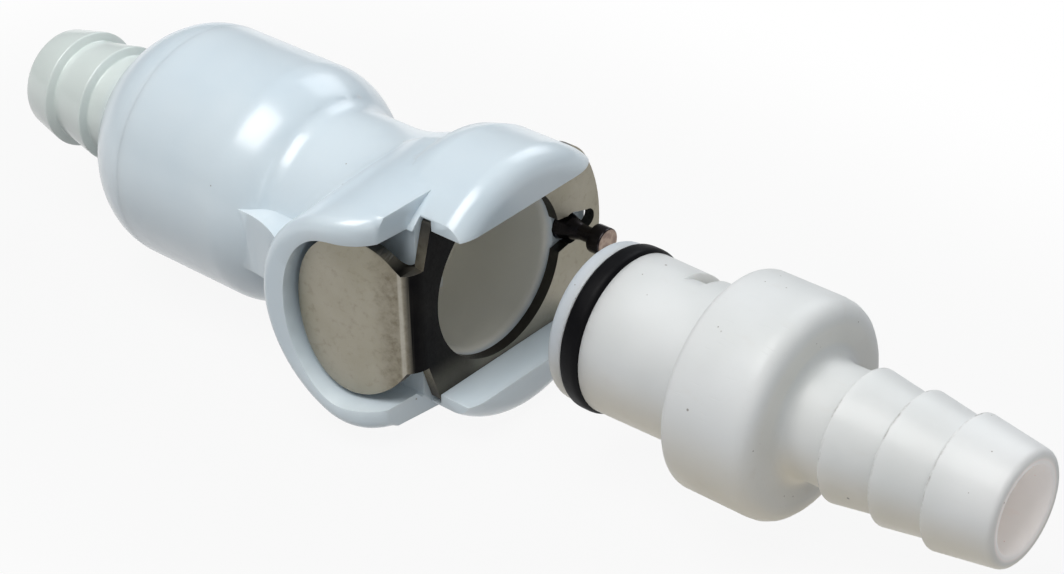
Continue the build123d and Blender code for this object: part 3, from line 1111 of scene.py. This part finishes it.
@dataclass
class Body:
    """The coupling body: socket, lips, shroud, neck and bulb."""

    edge: float = 0.22
    seam: float = SEAM_X
    finish: MilkyAcetal = MilkyAcetal(
        "body_moulding",
        COOL_WHITE,
        COOL_CLOUD,
        # A light, warm socket wall: painted light in the socket.
        inside=(0.92, 0.9, 0.82),
        dirt=0.03,
    )

    def build(self) -> None:
        """Softens and dresses the moulding."""
        piece = softened_copy("coupling_body", "body_moulding", self.edge, self.seam)
        dressed(piece, self.finish.material(), "coupling", ["coupling_body"])


@dataclass(frozen=True)
class Pin:
    """Sizes of the turned pin: hidden end, cone, neck and head."""

    back: float = 43.75
    back_round: float = 0.12
    front: float = 52.35
    front_round: float = 0.18
    y: float = 8.2
    r: float = 1.15
    cone: Tuple[float, float] = (48.0, 49.85)
    cone_round: Tuple[float, float] = (0.2, 0.15)
    neck_r: float = 0.62
    neck_round: float = 0.08
    head: float = 50.95
    head_slope: float = 0.15
    head_round: float = 0.1
    axis_r: float = 0.001
    axis_round: float = 0.0005
    columns: int = 64

    def corners(self) -> List[Corner]:
        """Lists the pin's outline from its hidden end to its head, closed along its axis.

        Returns:
            The corners.
        """
        return [
            (self.back, self.axis_r, self.axis_round),
            (self.back, self.r, self.back_round),
            (self.cone[0], self.r, self.cone_round[0]),
            (self.cone[1], self.neck_r, self.cone_round[1]),
            (self.head, self.neck_r, self.neck_round),
            (self.head + self.head_slope, self.r, self.head_round),
            (self.front, self.r, self.front_round),
            (self.front, self.axis_r, self.axis_round),
        ]


@dataclass
class Latch:
    """The latch: formed sheet with its thumb pad, and the turned pin."""

    edge: float = 0.1
    pin: Pin = Pin()
    sheet_steel: RolledSteel = RolledSteel()
    pin_steel: DarkTurnedSteel = DarkTurnedSteel()

    def build(self) -> None:
        """Makes and dresses the sheet and the pin."""
        sheet = softened_copy("latch_plate", "latch_sheet", self.edge)
        dressed(sheet, self.sheet_steel.material(), "latch", ["latch_plate"])
        pin = turned("turned_pin", rounded(self.pin.corners()), self.pin.y, self.pin.columns)
        dressed(pin, self.pin_steel.material(), "pin", ["latch_pin"])


@dataclass(frozen=True)
class Spring:
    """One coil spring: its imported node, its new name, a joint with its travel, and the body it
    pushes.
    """

    node: str
    name: str
    joint: Optional[str] = None
    travel: float = 0.0
    pushes: Optional[str] = None

    def build(self, material: bpy.types.Material) -> None:
        """Copies and dresses the spring.

        With a joint, the spring gets a mesh of its own. With a body to push, it rides on no body
        and its place is baked into its mesh.

        Args:
            material: finish of its wire.
        """
        piece = own_copy(self.node, self.name)
        body = "coupling" if self.pushes is None else None
        dressed(piece, material, body, [self.node])
        if self.joint is not None:
            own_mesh(piece)
        if self.pushes is not None:
            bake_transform(piece)


@dataclass
class InnerPieces:
    """Springs, seals and the valve poppet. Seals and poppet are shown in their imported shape."""

    springs: Tuple[Spring, ...] = (
        Spring("valve_spring", "valve_coil", "poppet_slide", travel=2.0),
        Spring("pin_spring", "pin_coil", "pin_slide", travel=2.05),
        Spring("latch_spring", "latch_coil", pushes="latch"),
    )
    seals: Tuple[str, ...] = ("poppet_seal", "terminal_seal")
    rubber: BlackRubber = BlackRubber()
    wire: SpringWire = SpringWire()
    valve: MilkyAcetal = MilkyAcetal("valve_moulding", (0.7, 0.74, 0.76), (0.76, 0.79, 0.8))

    def build(self) -> None:
        """Dresses the pieces."""
        drawn = self.wire.material()
        for spring in self.springs:
            spring.build(drawn)
        coated(self.seals, self.rubber.material())
        coated(["valve_poppet"], self.valve.material())


@dataclass(frozen=True)
class Lamp:
    """One soft square lamp. Its size is the side of its face, its power is in watts."""

    name: str
    place: Triple
    size: float
    power: float
    colour: Colour

    def hang(self, target: Vector) -> None:
        """Hangs the lamp and points it at a place.

        Args:
            target: the place in metres.
        """
        data = bpy.data.lights.new(self.name, "AREA")
        data.size = self.size * MM
        data.energy = self.power
        data.color = self.colour
        lamp = bpy.data.objects.new(self.name, data)
        bpy.context.scene.collection.objects.link(lamp)
        lamp.location = Vector(self.place) * MM
        aim = target - lamp.location
        lamp.rotation_mode = "QUATERNION"
        lamp.rotation_quaternion = aim.to_track_quat("-Z", "Y")


@dataclass
class Studio:
    """Floor, world, lamps and camera.

    The floor shows white to the camera, and under the object the share `shadow` of its own shading:
    the real shadow, and a painted grey halo from its dark colour. Both fade from `shadow_core` to
    `shadow_reach` beside the object.
    """

    middle_x: float = 48.0
    floor_half: float = 1.5
    floor_gap: float = 0.02
    # Dark colour, whose share near the object paints a grey shadow halo.
    floor_colour: Colour = (0.32, 0.32, 0.32)
    shadow: float = 0.08
    shadow_half_length: float = 34.0
    shadow_core: float = 16.0
    shadow_reach: float = 62.0
    sky: Colour = (0.93, 0.96, 1.0)
    sky_strength: float = 0.21
    lamps: Tuple[Lamp, ...] = (
        Lamp("key", (35.0, -165.0, 460.0), 330.0, 2.05, (1.0, 0.99, 0.97)),
        Lamp("fill", (330.0, -160.0, 160.0), 260.0, 0.12, (1.0, 0.97, 0.92)),
        Lamp("behind", (20.0, 320.0, 260.0), 220.0, 0.4, (0.9, 0.95, 1.0)),
    )
    lens: float = 94.74
    sensor: float = 36.0
    nearest: float = 10.0
    eye: Triple = (167.72, -127.35, 111.66)
    right: Triple = (0.7526, 0.6578, -0.0301)
    up: Triple = (-0.3392, 0.4264, 0.8386)
    back: Triple = (0.5645, -0.6209, 0.544)

    def floor_material(self) -> bpy.types.Material:
        """Wires the floor's white, which lets a little of the real shadow and of a painted grey
        halo show.

        Returns:
            The material.
        """
        graph = Graph("white_floor")
        graph.finish(Base_Color=self.floor_colour, Roughness=1.0, Specular_IOR_Level=0.0)
        glow = graph.node("ShaderNodeEmission", {}, {"Color": WHITE, "Strength": 1.0})
        path = graph.node("ShaderNodeLightPath", output="Is Camera Ray").socket.node
        rays = ("Is Camera Ray", "Is Glossy Ray", "Is Transmission Ray")
        seen = sum(Wire(graph, path.outputs[ray]) for ray in rays).smaller(1.0)
        x, y, _ = graph.axes()
        beside = (abs(x - self.middle_x) - self.shadow_half_length).larger(0.0)
        near = (beside * beside + y * y).ramp(self.shadow_reach**2, self.shadow_core**2)
        # Near the object, the dark floor shows through: real shadow, and a painted grey halo where
        # lit.
        white = seen * (1.0 - near * self.shadow)
        shader = Wire(graph, graph.shader.outputs[0])
        mixed = graph.node("ShaderNodeMixShader", {}, {0: white, 1: shader, 2: glow})
        graph.tree.links.new(mixed.socket, graph.output.inputs["Surface"])
        return graph.material

    def floor(self) -> None:
        """Lays the floor just under the object."""
        half = self.floor_half
        z = cad_box[0].z - self.floor_gap * MM
        mesh = bpy.data.meshes.new("floor")
        corners = [(-half, -half, z), (half, -half, z), (half, half, z), (-half, half, z)]
        mesh.from_pydata(corners, [], [(0, 1, 2, 3)])
        piece = bpy.data.objects.new("floor", mesh)
        bpy.context.scene.collection.objects.link(piece)
        mesh.materials.append(self.floor_material())

    def world(self) -> None:
        """Surrounds the object with even soft light."""
        world = bpy.data.worlds.new("studio")
        bpy.context.scene.world = world
        world.use_nodes = True
        background = world.node_tree.nodes["Background"]
        background.inputs["Color"].default_value = (*self.sky, 1.0)
        background.inputs["Strength"].default_value = self.sky_strength

    def camera(self) -> None:
        """Sets the camera up at the photograph's viewing angle."""
        data = bpy.data.cameras.new("camera")
        data.lens = self.lens
        data.sensor_width = self.sensor
        data.clip_start = self.nearest * MM
        camera = bpy.data.objects.new("camera", data)
        bpy.context.scene.collection.objects.link(camera)
        turn = Matrix((self.right, self.up, self.back)).transposed()
        camera.matrix_world = Matrix.Translation(Vector(self.eye) * MM) @ turn.to_4x4()
        bpy.context.scene.camera = camera

    def build(self) -> None:
        """Builds the studio."""
        self.floor()
        self.world()
        for lamp in self.lamps:
            lamp.hang(Vector((self.middle_x, 0.0, 0.0)) * MM)
        self.camera()
        bpy.context.scene.view_settings.view_transform = "Standard"


def main() -> None:
    """Builds every sub-assembly in order."""
    logging.basicConfig(level=logging.INFO, format="%(message)s")
    for part in (Body(), Terminal(), Latch(), Insert(), InnerPieces(), Studio()):
        log.info("building %s", type(part).__name__)
        part.build()


if __name__ == "__main__":
    main()
